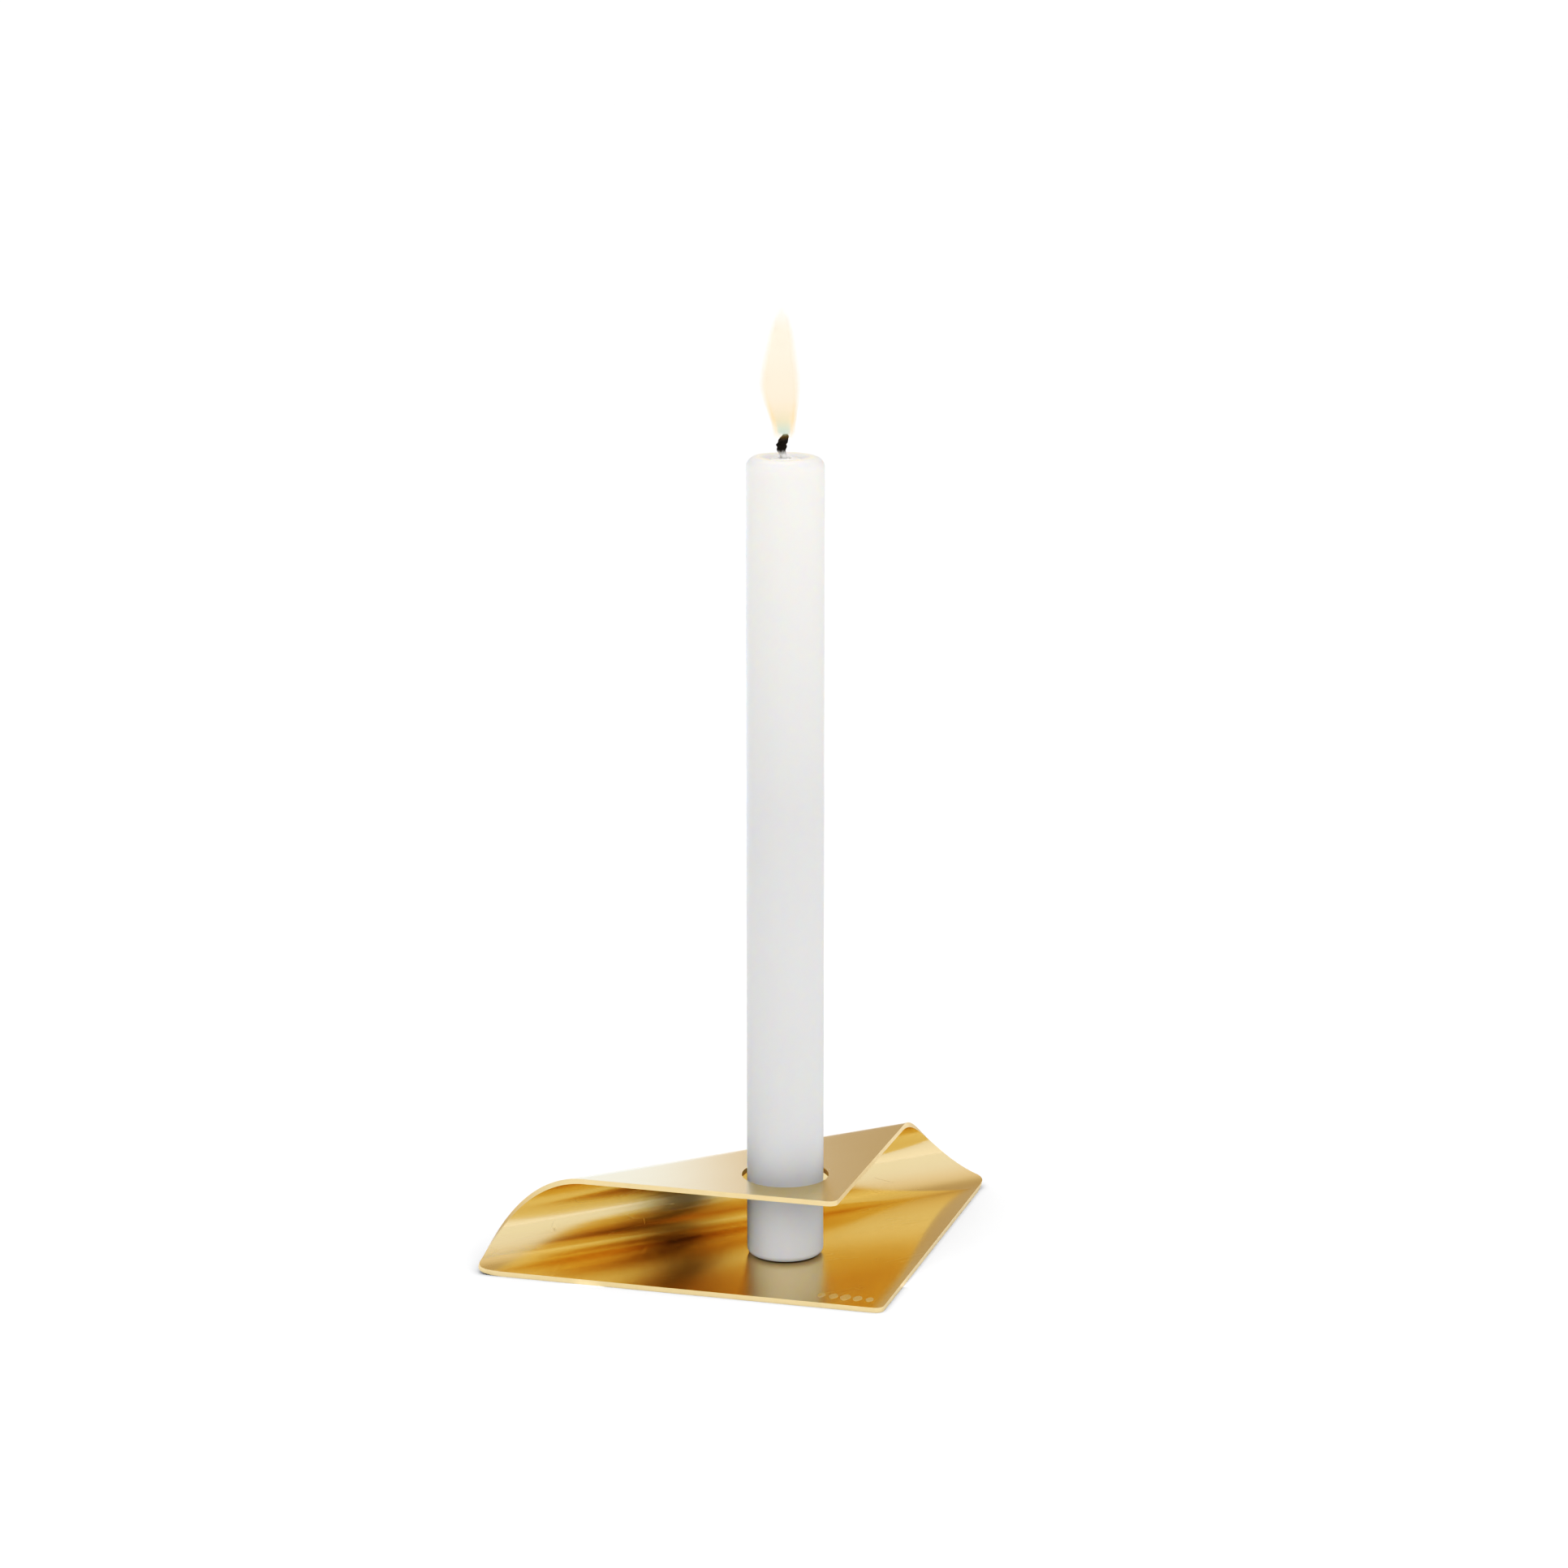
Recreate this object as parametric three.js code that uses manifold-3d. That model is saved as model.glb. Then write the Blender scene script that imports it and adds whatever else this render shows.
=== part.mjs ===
// A candlestick folded from one square of brass sheet, with a burning stick candle standing in it.
//
// Millimetres, +Z up. The origin is on the table, under the candle's axis. The fold runs along X at
// the back (+Y), and the two free corners of the sheet point to the front (-Y).

import * as THREE from "three";
import { mergeVertices } from "three/addons/utils/BufferGeometryUtils.js";
import Module from "manifold-3d";

// ---------------------------------------------------------------- driving dimensions

const SHEET_SIDE = 120; // the flat square, corner to corner along an edge
const SHEET_THICKNESS = 1.5;
const SHEET_CORNER_RADIUS = 2.5;
const FOLDED_HEIGHT = 25; // over both layers
const FOLD_LEAD = 5.3; // how far the bend begins in front of the square's diagonal
const HOLE_DIAMETER = 25;
const HOLE_FROM_CORNER = 29.4; // hole's centre to the upper layer's sharp corner, along the diagonal

const CANDLE_DIAMETER = 22;
const CANDLE_LENGTH = 232; // a 240 mm candle that has burnt for a while
const SHOULDER_RADIUS = 3;
const FOOT_RADIUS = 2;
const DISH_DIAMETER = 15; // the hollow that the flame has melted round the wick
const DISH_DEPTH = 1.8;
const POOL_DEPTH = 1.3; // molten wax over the dish's lowest point

const WICK_DIAMETER = 2.2;
const WICK_REACH = 8.1; // above the dish's lowest point
const WICK_SWAY = 1.05; // to one side, where it leaves the wax
const WICK_CURL = 1.15; // back again, at its tip

const FLAME_FOOT = 6.7; // above the dish's lowest point
const FLAME_LENGTH = 37.5;
const FLAME_WALL = 0.35;
// Half the flame's width at shares of the way up it, from its open mouth round the wick to its tip.
const FLAME_OUTLINE = [[0, 2.4], [0.12, 3.15], [0.4, 5.1], [0.66, 3.7], [0.82, 2.5], [0.94, 1.1], [1, 0.25]];
const FLAME_OFFSET = 0.4; // from the candle's axis at its mouth, to the side that the wick sways to
const FLAME_BELLY_OFFSET = 1.5;
const FLAME_TIP_OFFSET = 1.0;

const CLEARANCE = 0.3; // between two pieces that are cast or soaked into each other

// ---------------------------------------------------------------- worked-out dimensions

const HALF_DIAGONAL = SHEET_SIDE / Math.SQRT2;
const FOLD_RADIUS = (FOLDED_HEIGHT - SHEET_THICKNESS) / 2; // at mid thickness
const BEND_START = -FOLD_LEAD; // along the diagonal that the sheet is folded across
const BEND_END = BEND_START + Math.PI * FOLD_RADIUS;
const FOLD_LINE_Y = HALF_DIAGONAL - HOLE_FROM_CORNER - BEND_END; // where the bend's centre lies

const CANDLE_RADIUS = CANDLE_DIAMETER / 2;
const CANDLE_FOOT = SHEET_THICKNESS;
const CANDLE_TOP = CANDLE_FOOT + CANDLE_LENGTH;
const DISH_BOTTOM = CANDLE_TOP - DISH_DEPTH;
const WICK_RADIUS = WICK_DIAMETER / 2;
const CHANNEL_RADIUS = WICK_RADIUS + CLEARANCE;

// The wick sways against this direction and curls back along it, and the flame stands off against it.
const LEAN_DIRECTION = new THREE.Vector2(0.875, -0.484);

const wasm = await Module();
wasm.setup();

// ---------------------------------------------------------------- helpers

const material = (color, roughness, metalness, more = {}) =>
  new THREE.MeshStandardMaterial({ color, roughness, metalness, ...more });

function node(name, geometry, look) {
  const mesh = new THREE.Mesh(geometry, look);
  mesh.name = name;
  return mesh;
}

function toManifold(geometry) {
  const bare = geometry.clone();
  bare.deleteAttribute("normal");
  bare.deleteAttribute("uv");
  const merged = mergeVertices(bare, 1e-4);
  const mesh = new wasm.Mesh({
    numProp: 3,
    vertProperties: new Float32Array(merged.attributes.position.array),
    triVerts: new Uint32Array(merged.index.array),
  });
  return new wasm.Manifold(mesh);
}

function fromManifold(solid) {
  const { vertProperties, triVerts } = solid.getMesh();
  const geometry = new THREE.BufferGeometry();
  geometry.setAttribute("position", new THREE.BufferAttribute(new Float32Array(vertProperties), 3));
  geometry.setIndex(new THREE.BufferAttribute(new Uint32Array(triVerts), 1));
  geometry.computeVertexNormals();
  return geometry;
}

// Moves every vertex of a geometry to where move(vertex) puts it.
function reshape(geometry, move) {
  const position = geometry.attributes.position;
  const vertex = new THREE.Vector3();
  for (let i = 0; i < position.count; i++) {
    vertex.fromBufferAttribute(position, i);
    move(vertex);
    position.setXYZ(i, vertex.x, vertex.y, vertex.z);
  }
  geometry.computeVertexNormals();
  return geometry;
}

const steps = (from, to, count) =>
  Array.from({ length: count + 1 }, (_, i) => from + ((to - from) * i) / count);

// Points of a quarter round in a lathe's profile, from one angle to another.
function quarterRound(centreR, centreZ, radius, fromAngle, toAngle, count) {
  return steps(fromAngle, toAngle, count).map(
    (a) => new THREE.Vector2(centreR + radius * Math.cos(a), centreZ + radius * Math.sin(a)),
  );
}

// A solid of revolution about Z.
const revolve = (profile, segments) => new THREE.LatheGeometry(profile, segments).rotateX(Math.PI / 2);

// ---------------------------------------------------------------- the folded sheet

// Half the flat square's width at a distance v along the diagonal that it is folded across.
// v runs from the lower layer's corner, at minus half a diagonal, to the upper layer's corner.
function halfWidthAt(v) {
  const r = SHEET_CORNER_RADIUS;
  const sharp = HALF_DIAGONAL - Math.abs(v);
  if (Math.abs(v) < r / Math.SQRT2) {
    return HALF_DIAGONAL - r * Math.SQRT2 + Math.sqrt(r * r - v * v);
  }
  if (sharp < r / Math.SQRT2) {
    const toCentre = r * Math.SQRT2 - sharp;
    return Math.sqrt(Math.max(r * r - toCentre * toCentre, 0));
  }
  return sharp;
}

// The values of v at which the sheet gets a row of vertices: close together round the four corners
// and the bend, and at the ends of the flats.
function sheetRows() {
  const r = SHEET_CORNER_RADIUS;
  const roundEnd = HALF_DIAGONAL - r / Math.SQRT2;
  const tips = steps(Math.PI / 24, Math.PI / 4, 5).map(
    (a) => HALF_DIAGONAL - r * Math.SQRT2 + r * Math.cos(a),
  );
  const sides = steps(-r / Math.SQRT2, r / Math.SQRT2, 8);
  const bend = steps(BEND_START, BEND_END, 32);
  const rows = [...tips.map((v) => -v), -roundEnd, ...sides, ...bend, roundEnd, ...tips];
  rows.sort((a, b) => a - b);
  return rows.filter((v, i) => i === 0 || v - rows[i - 1] > 0.02);
}

// A point of the flat sheet, u along the fold, v across it and w towards the fold's inside.
function fold(u, v, w) {
  const turn = THREE.MathUtils.clamp((v - BEND_START) / FOLD_RADIUS, 0, Math.PI);
  const radius = FOLD_RADIUS - w;
  const flat = Math.min(v - BEND_START, 0) - Math.max(v - BEND_END, 0);
  return new THREE.Vector3(
    u,
    FOLD_LINE_Y + radius * Math.sin(turn) + flat,
    FOLDED_HEIGHT / 2 - radius * Math.cos(turn),
  );
}

function foldedSheet() {
  const rows = sheetRows();
  const last = rows.length - 1;
  // A box of one cell across, whose rows are moved to the square's outline and then folded.
  const blank = new THREE.BoxGeometry(2, 2, SHEET_THICKNESS, 1, last, 1);
  const bent = reshape(blank, (p) => {
    const v = rows[Math.round(((p.y + 1) / 2) * last)];
    p.copy(fold(p.x * halfWidthAt(v), v, p.z));
  });
  const punch = new THREE.CylinderGeometry(HOLE_DIAMETER / 2, HOLE_DIAMETER / 2, FOLDED_HEIGHT, 72);
  punch.rotateX(Math.PI / 2).translate(0, 0, FOLDED_HEIGHT);
  return fromManifold(toManifold(bent).subtract(toManifold(punch)));
}

// ---------------------------------------------------------------- the candle

// Height of the dish's floor at a distance from the candle's axis.
const dishFloor = (r) =>
  CANDLE_TOP - (DISH_DEPTH / 2) * (1 + Math.cos((Math.PI * r) / (DISH_DIAMETER / 2)));

function waxBody() {
  const flatEdge = CANDLE_RADIUS - SHOULDER_RADIUS;
  const profile = [
    new THREE.Vector2(CHANNEL_RADIUS, CANDLE_FOOT),
    ...quarterRound(CANDLE_RADIUS - FOOT_RADIUS, CANDLE_FOOT + FOOT_RADIUS, FOOT_RADIUS, -Math.PI / 2, 0, 6),
    ...quarterRound(flatEdge, CANDLE_TOP - SHOULDER_RADIUS, SHOULDER_RADIUS, 0, Math.PI / 2, 8),
    ...steps(DISH_DIAMETER / 2, CHANNEL_RADIUS, 9).map((r) => new THREE.Vector2(r, dishFloor(r))),
    new THREE.Vector2(CHANNEL_RADIUS, CANDLE_FOOT),
  ];
  return revolve(profile, 48);
}

// Molten wax, from its level down to just above the dish's floor.
function meltPool() {
  const level = DISH_BOTTOM + POOL_DEPTH;
  const inner = WICK_RADIUS + 2 * CLEARANCE;
  const share = (2 * (CANDLE_TOP - level + CLEARANCE)) / DISH_DEPTH - 1;
  const outer = (Math.acos(share) / Math.PI) * (DISH_DIAMETER / 2);
  const profile = [
    ...steps(inner, outer, 6).map((r) => new THREE.Vector2(r, dishFloor(r) + CLEARANCE)),
    new THREE.Vector2(inner, level),
    new THREE.Vector2(inner, dishFloor(inner) + CLEARANCE),
  ];
  return revolve(profile, 40);
}

// ---------------------------------------------------------------- wick and flame

// How far the wick's middle stands off the candle's axis at a height.
function wickOffset(z) {
  const height = z - DISH_BOTTOM;
  const sway = THREE.MathUtils.smoothstep(height, 0.8, 3.4);
  const curl = THREE.MathUtils.smoothstep(height, 4.6, WICK_REACH + 0.4);
  return WICK_CURL * curl - WICK_SWAY * sway;
}

// The same for the flame: it bellies out to one side and comes part of the way back at its tip.
function flameOffset(z) {
  const share = (z - DISH_BOTTOM - FLAME_FOOT) / FLAME_LENGTH;
  const out = THREE.MathUtils.smoothstep(share, 0.05, 0.42);
  const back = THREE.MathUtils.smoothstep(share, 0.45, 0.9);
  return (
    -FLAME_OFFSET -
    (FLAME_BELLY_OFFSET - FLAME_OFFSET) * out +
    (FLAME_BELLY_OFFSET - FLAME_TIP_OFFSET) * back
  );
}

// Moves each level of a solid sideways by its offset.
const lean = (geometry, offsetAt) =>
  reshape(geometry, (p) => {
    const offset = offsetAt(p.z);
    p.x += offset * LEAN_DIRECTION.x;
    p.y += offset * LEAN_DIRECTION.y;
  });

function wick() {
  const bare = DISH_BOTTOM + WICK_REACH;
  const profile = [
    new THREE.Vector2(0, CANDLE_FOOT),
    new THREE.Vector2(WICK_RADIUS, CANDLE_FOOT),
    ...steps(DISH_BOTTOM, bare - 0.6, 10).map((z) => new THREE.Vector2(WICK_RADIUS, z)),
    new THREE.Vector2(0.8 * WICK_RADIUS, bare),
    new THREE.Vector2(0, bare),
  ];
  return lean(revolve(profile, 16), wickOffset);
}

// A thin bright sheath, open at the bottom where the wick enters it.
function flame() {
  const foot = DISH_BOTTOM + FLAME_FOOT;
  const outline = FLAME_OUTLINE.map(([share, r]) => new THREE.Vector2(r, foot + share * FLAME_LENGTH));
  const outside = new THREE.SplineCurve(outline).getPoints(30);
  const inside = outside
    .filter((p) => p.x > 3 * FLAME_WALL) // it ends before the tip gets too thin to be hollow
    .map((p) => new THREE.Vector2(p.x - FLAME_WALL, p.y))
    .reverse();
  const profile = [
    new THREE.Vector2(0, inside[0].y + FLAME_WALL),
    ...inside,
    ...outside,
    new THREE.Vector2(0, foot + FLAME_LENGTH),
  ];
  return lean(revolve(profile, 28), flameOffset);
}

// ---------------------------------------------------------------- the assembly

const brass = material(0xd9b873, 0.28, 1);
const wax = material(0xf4f2ec, 0.45, 0);
const moltenWax = material(0xf7f3e6, 0.08, 0, { transparent: true, opacity: 0.6 });
const cotton = material(0x2b2622, 0.95, 0);
const fire = material(0xffe9b8, 1, 0, {
  emissive: 0xffd890,
  transparent: true,
  opacity: 0.45,
});

const candlestick = new THREE.Group();
candlestick.add(node("folded_sheet", foldedSheet(), brass));

const candle = new THREE.Group();
candle.add(node("wax_body", waxBody(), wax));
candle.add(node("melt_pool", meltPool(), moltenWax));
candle.add(node("wick", wick(), cotton));
candle.add(node("flame", flame(), fire));
candlestick.add(candle);

export default candlestick;
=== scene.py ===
import math

import bmesh
import bpy
import numpy as np
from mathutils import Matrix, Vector, noise


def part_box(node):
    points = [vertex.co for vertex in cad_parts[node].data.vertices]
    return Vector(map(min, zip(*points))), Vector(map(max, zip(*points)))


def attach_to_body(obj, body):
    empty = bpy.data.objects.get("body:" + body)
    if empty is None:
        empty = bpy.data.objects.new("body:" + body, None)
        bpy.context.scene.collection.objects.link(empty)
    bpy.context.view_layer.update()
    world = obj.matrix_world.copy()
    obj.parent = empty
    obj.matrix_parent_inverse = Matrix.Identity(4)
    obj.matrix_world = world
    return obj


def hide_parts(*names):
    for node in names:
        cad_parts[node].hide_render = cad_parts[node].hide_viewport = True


# A candlestick folded from one square of satin brass sheet, with a burning stick candle in it.
# Metres, in the CAD frame: the origin is on the table under the candle's axis, +Z is up, and the
# fold runs along X at the back.

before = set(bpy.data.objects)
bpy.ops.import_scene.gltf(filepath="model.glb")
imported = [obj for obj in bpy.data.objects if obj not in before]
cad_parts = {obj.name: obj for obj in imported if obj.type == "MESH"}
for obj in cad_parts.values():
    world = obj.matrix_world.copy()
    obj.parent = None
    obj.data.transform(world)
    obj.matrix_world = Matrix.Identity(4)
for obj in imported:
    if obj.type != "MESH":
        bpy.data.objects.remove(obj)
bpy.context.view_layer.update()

MM = 0.001

# ---------------------------------------------------------------- sizes, from the frame

SHEET_LOW, SHEET_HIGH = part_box("folded_sheet")
WAX_LOW, WAX_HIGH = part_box("wax_body")
POOL_LOW, POOL_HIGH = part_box("melt_pool")
WICK_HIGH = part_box("wick")[1]
FLAME_LOW, FLAME_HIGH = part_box("flame")

THICKNESS = WAX_LOW.z  # the candle stands on the lower layer
FOLDED_HEIGHT = SHEET_HIGH.z
FOLD_RADIUS = (FOLDED_HEIGHT - THICKNESS) / 2  # at mid thickness
FOLD_Y = SHEET_HIGH.y - FOLDED_HEIGHT / 2  # the bend's centre line
CORNER_RADIUS = 2.5 * MM
CORNER_CUT = CORNER_RADIUS * (math.sqrt(2) - 1)  # what the rounding takes off a diagonal's end
HALF_DIAGONAL = SHEET_HIGH.x + CORNER_CUT
BEND_START = FOLD_Y - SHEET_LOW.y - SHEET_HIGH.x  # across the fold, in the flat sheet
BEND_END = BEND_START + math.pi * FOLD_RADIUS
HOLE_RADIUS = 12.5 * MM
HOLE_ACROSS = BEND_END + FOLD_Y  # the hole's centre, in the flat sheet
EDGE_SOFTNESS = 0.22 * MM

CANDLE_RADIUS = WAX_HIGH.x
CANDLE_TOP = WAX_HIGH.z
SHOULDER_RADIUS = 3.0 * MM
FOOT_RADIUS = 2.0 * MM
DISH_RADIUS = 7.5 * MM
DISH_DEPTH = 1.8 * MM
WICK_RADIUS = 1.1 * MM
WICK_HOLE = 1.4 * MM

# The wick and the flame lean along this direction.
LEAN = Vector((0.875, -0.484, 0))


# ---------------------------------------------------------------- small helpers


def smoothstep(x, low, high):
    t = min(max((x - low) / (high - low), 0.0), 1.0)
    return t * t * (3 - 2 * t)


def spread(low, high, count):
    """count + 1 evenly spaced numbers from low to high."""
    return [low + (high - low) * i / count for i in range(count + 1)]


def mesh_object(name, bm, materials):
    mesh = bpy.data.meshes.new(name)
    bm.to_mesh(mesh)
    bm.free()
    for material in materials:
        mesh.materials.append(material)
    mesh.shade_smooth()
    piece = bpy.data.objects.new(name, mesh)
    bpy.context.scene.collection.objects.link(piece)
    return piece


def loft(bm, rings, closed=False):
    """Joins rings of points of equal length, one after another, and returns their vertices. closed
    also joins the last ring to the first."""
    made = [[bm.verts.new(point) for point in ring] for ring in rings]
    count = len(made[0])
    following = made[1:] + made[:1] if closed else made[1:]
    for lower, upper in zip(made, following):
        for i in range(count):
            j = (i + 1) % count
            bm.faces.new((lower[i], lower[j], upper[j], upper[i]))
    return made


def cap_ends(bm, made):
    """Closes the first and last rings of a loft with a face each."""
    bm.faces.new(list(reversed(made[0])))
    bm.faces.new(made[-1])


def turned(profile, count):
    """The rings of a lathe about Z, for a profile of (radius, height)."""
    angles = [2 * math.pi * i / count for i in range(count)]
    return [[(r * math.cos(a), r * math.sin(a), z) for a in angles] for r, z in profile]


def arc(centre_r, centre_z, radius, start, end, count):
    """Points of a round in a profile, between two angles in degrees."""
    angles = [math.radians(a) for a in spread(start, end, count)]
    return [(centre_r + radius * math.cos(a), centre_z + radius * math.sin(a)) for a in angles]


def shift_by_lean(points, offset_at):
    """Moves points sideways along LEAN by offset_at their height."""
    return [Vector(p) + LEAN * offset_at(p[2]) for p in points]


# ---------------------------------------------------------------- node helpers


class Nodes:
    """A node tree, with short calls to add and join nodes."""

    def __init__(self, tree):
        self.tree = tree

    def add(self, kind, inputs=None, **settings):
        node = self.tree.nodes.new(kind)
        for key, value in settings.items():
            setattr(node, key, value)
        self.feed(node, inputs or {})
        return node

    def feed(self, node, inputs):
        """Sets a node's inputs. A value that is another node's output is linked."""
        for key, value in inputs.items():
            if isinstance(value, bpy.types.NodeSocket):
                self.tree.links.new(value, node.inputs[key])
            else:
                node.inputs[key].default_value = value

    def object_place(self):
        """Where a point is on its object, in metres."""
        return self.add("ShaderNodeTexCoord").outputs["Object"]

    def height_of(self, place):
        return self.add("ShaderNodeSeparateXYZ", {"Vector": place}).outputs["Z"]

    def mapped(self, coordinates, scale):
        return self.add(
            "ShaderNodeMapping", {"Vector": coordinates, "Scale": scale}
        ).outputs["Vector"]

    def noise(self, vector, scale, detail=2.0, roughness=0.5):
        return self.add(
            "ShaderNodeTexNoise",
            {"Vector": vector, "Scale": scale, "Detail": detail, "Roughness": roughness},
        ).outputs["Fac"]

    def span(self, value, low, high, new_low, new_high):
        """Moves a value from one range to another, held at the ends."""
        return self.add(
            "ShaderNodeMapRange",
            {"Value": value, "From Min": low, "From Max": high, "To Min": new_low, "To Max": new_high},
        ).outputs["Result"]

    def math(self, operation, a, b=0.0):
        return self.add("ShaderNodeMath", {0: a, 1: b}, operation=operation).outputs[0]

    def blend(self, factor, a, b):
        """The colour a where factor is 0, and b where it is 1."""
        return self.add(
            "ShaderNodeMix", {"Factor": factor, 6: a, 7: b}, data_type="RGBA"
        ).outputs[2]

    def bump(self, height, distance, under=None):
        inputs = {"Height": height, "Distance": distance, "Strength": 1.0}
        if under is not None:
            inputs["Normal"] = under
        return self.add("ShaderNodeBump", inputs).outputs["Normal"]

    def ramp(self, factor, stops):
        """A smooth run of colours through (position, colour) stops."""
        node = self.add("ShaderNodeValToRGB", {"Fac": factor})
        node.color_ramp.interpolation = "B_SPLINE"
        elements = node.color_ramp.elements
        while len(elements) < len(stops):
            elements.new(0.5)
        for element, (position, _) in zip(elements, stops):
            element.position = position
        for element, (_, color) in zip(elements, stops):
            element.color = (*color, 1)
        return node.outputs["Color"]


class Shader(Nodes):
    """A new material and its node tree."""

    def __init__(self, name):
        self.material = bpy.data.materials.new(name)
        self.material.use_nodes = True
        super().__init__(self.material.node_tree)
        self.principled = self.tree.nodes["Principled BSDF"]
        self.output = self.tree.nodes["Material Output"]

    def surface(self, **inputs):
        self.feed(self.principled, {k.replace("_", " "): v for k, v in inputs.items()})


# ---------------------------------------------------------------- materials

BRASS = (0.885, 0.72, 0.43, 1)
BRASS_DEEP = (0.875, 0.705, 0.41, 1)
BRASS_CUT = (0.84, 0.67, 0.37, 1)
BRASS_BRIGHT = (0.98, 0.86, 0.57, 1)
# painted light: the hole's wall is coloured lighter and warmer than the cut edges, for light it doesn't
# get
BRASS_HOLE_WALL_PAINTED_LIGHT = (0.97, 0.74, 0.37, 1)

WAX_BODY = ((0.695, 0.695, 0.697, 1), (0.715, 0.715, 0.715, 1))
WAX_PAINTED_FLAME_LIGHT = (0.84, 0.83, 0.80, 1)  # painted light: lighter and warmer near the flame
# painted shade over the top of the wax, where the overhead light falls strongest
WAX_PAINTED_TOP_SHADE = (0.745, 0.745, 0.75, 1)
WAX_PAINTED_RIM_GLOW = (0.85, 0.83, 0.73, 1)  # round the dish: a painted glow of the flame
WAX_MOLTEN = ((0.86, 0.86, 0.865, 1), (0.90, 0.90, 0.90, 1))
WAX_IOR = 1.43

COTTON = ((0.62, 0.61, 0.60, 1), (0.85, 0.84, 0.82, 1))
CHAR = ((0.004, 0.0035, 0.003, 1), (0.11, 0.085, 0.06, 1))


def satin_brass():
    """Rolled brass sheet, brushed along the fold. The UV map is the flat sheet, in millimetres."""
    s = Shader("satin_brass")
    flat = s.add("ShaderNodeUVMap", uv_map="flat_sheet").outputs["UV"]
    grain = s.noise(s.mapped(flat, (0.012, 3.0, 1.0)), 1.0, detail=4.0, roughness=0.6)
    rolled = s.noise(s.mapped(flat, (0.002, 0.45, 1.0)), 1.0, detail=2.0)
    cloud = s.noise(s.mapped(flat, (0.03, 0.05, 1.0)), 1.0, detail=2.0)
    speckle = s.noise(s.mapped(flat, (2.2, 4.0, 1.0)), 1.0, detail=3.0, roughness=0.7)
    scratch = s.add(
        "ShaderNodeTexVoronoi",
        {"Vector": s.mapped(flat, (0.05, 0.4, 1.0)), "Scale": 1.0, "Randomness": 1.0},
        feature="DISTANCE_TO_EDGE",
    ).outputs["Distance"]
    thin, here = s.math("LESS_THAN", scratch, 0.004), s.math("GREATER_THAN", cloud, 0.58)
    hairline = s.math("MULTIPLY", thin, here)
    tone = s.span(cloud, 0.3, 0.7, 0.0, 1.0)
    color = s.blend(tone, BRASS, BRASS_DEEP)
    roughness = s.math(
        "ADD", s.span(grain, 0.3, 0.7, 0.16, 0.20), s.math("MULTIPLY", hairline, 0.15)
    )
    normal = s.bump(rolled, 0.0008 * MM)
    normal = s.bump(grain, 0.0009 * MM, normal)
    normal = s.bump(speckle, 0.0012 * MM, normal)
    tangent = s.add(
        "ShaderNodeTangent", direction_type="UV_MAP", uv_map="flat_sheet"
    ).outputs["Tangent"]
    s.surface(
        Base_Color=color, Metallic=1.0, Roughness=roughness, Anisotropic=1.0, Normal=normal,
        Tangent=tangent,
    )
    return s.material


def cut_brass():
    """The sheet's cut edges, paler, with faint marks of the cut across them. The hole's wall is duller
    than the outline, and has painted light: a lighter, warmer colour than the cut edges."""
    s = Shader("cut_brass")
    place = s.object_place()
    marks = s.noise(s.mapped(place, (900.0, 900.0, 60.0)), 1.0, detail=3.0)
    wear = s.noise(place, 60.0, detail=2.0)
    flat = s.add("ShaderNodeUVMap", uv_map="flat_sheet").outputs["UV"]
    from_hole = s.add(
        "ShaderNodeVectorMath", {0: flat, 1: (0, HOLE_ACROSS / MM, 0)}, operation="DISTANCE"
    ).outputs["Value"]
    wall = s.span(from_hole, HOLE_RADIUS / MM + 0.6, HOLE_RADIUS / MM + 0.9, 1.0, 0.0)
    # painted light: the hole's wall gets a lighter, warmer colour than the outline's cut edges
    color = s.blend(wall, s.blend(wear, BRASS_CUT, BRASS), BRASS_HOLE_WALL_PAINTED_LIGHT)
    roughness = s.math("ADD", s.span(marks, 0.3, 0.7, 0.34, 0.46), s.math("MULTIPLY", wall, 0.38))
    s.surface(
        Base_Color=color, Metallic=1.0, Roughness=roughness, Normal=s.bump(marks, 0.004 * MM)
    )
    return s.material


def marked_brass():
    """The small ornament: brass polished brighter than the sheet round it."""
    s = Shader("marked_brass")
    place = s.object_place()
    fine = s.noise(place, 2600.0, detail=3.0)
    s.surface(
        Base_Color=s.blend(fine, BRASS_BRIGHT, BRASS_CUT), Metallic=1.0,
        Roughness=s.span(fine, 0.3, 0.7, 0.42, 0.55), Normal=s.bump(fine, 0.004 * MM),
    )
    return s.material


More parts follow.
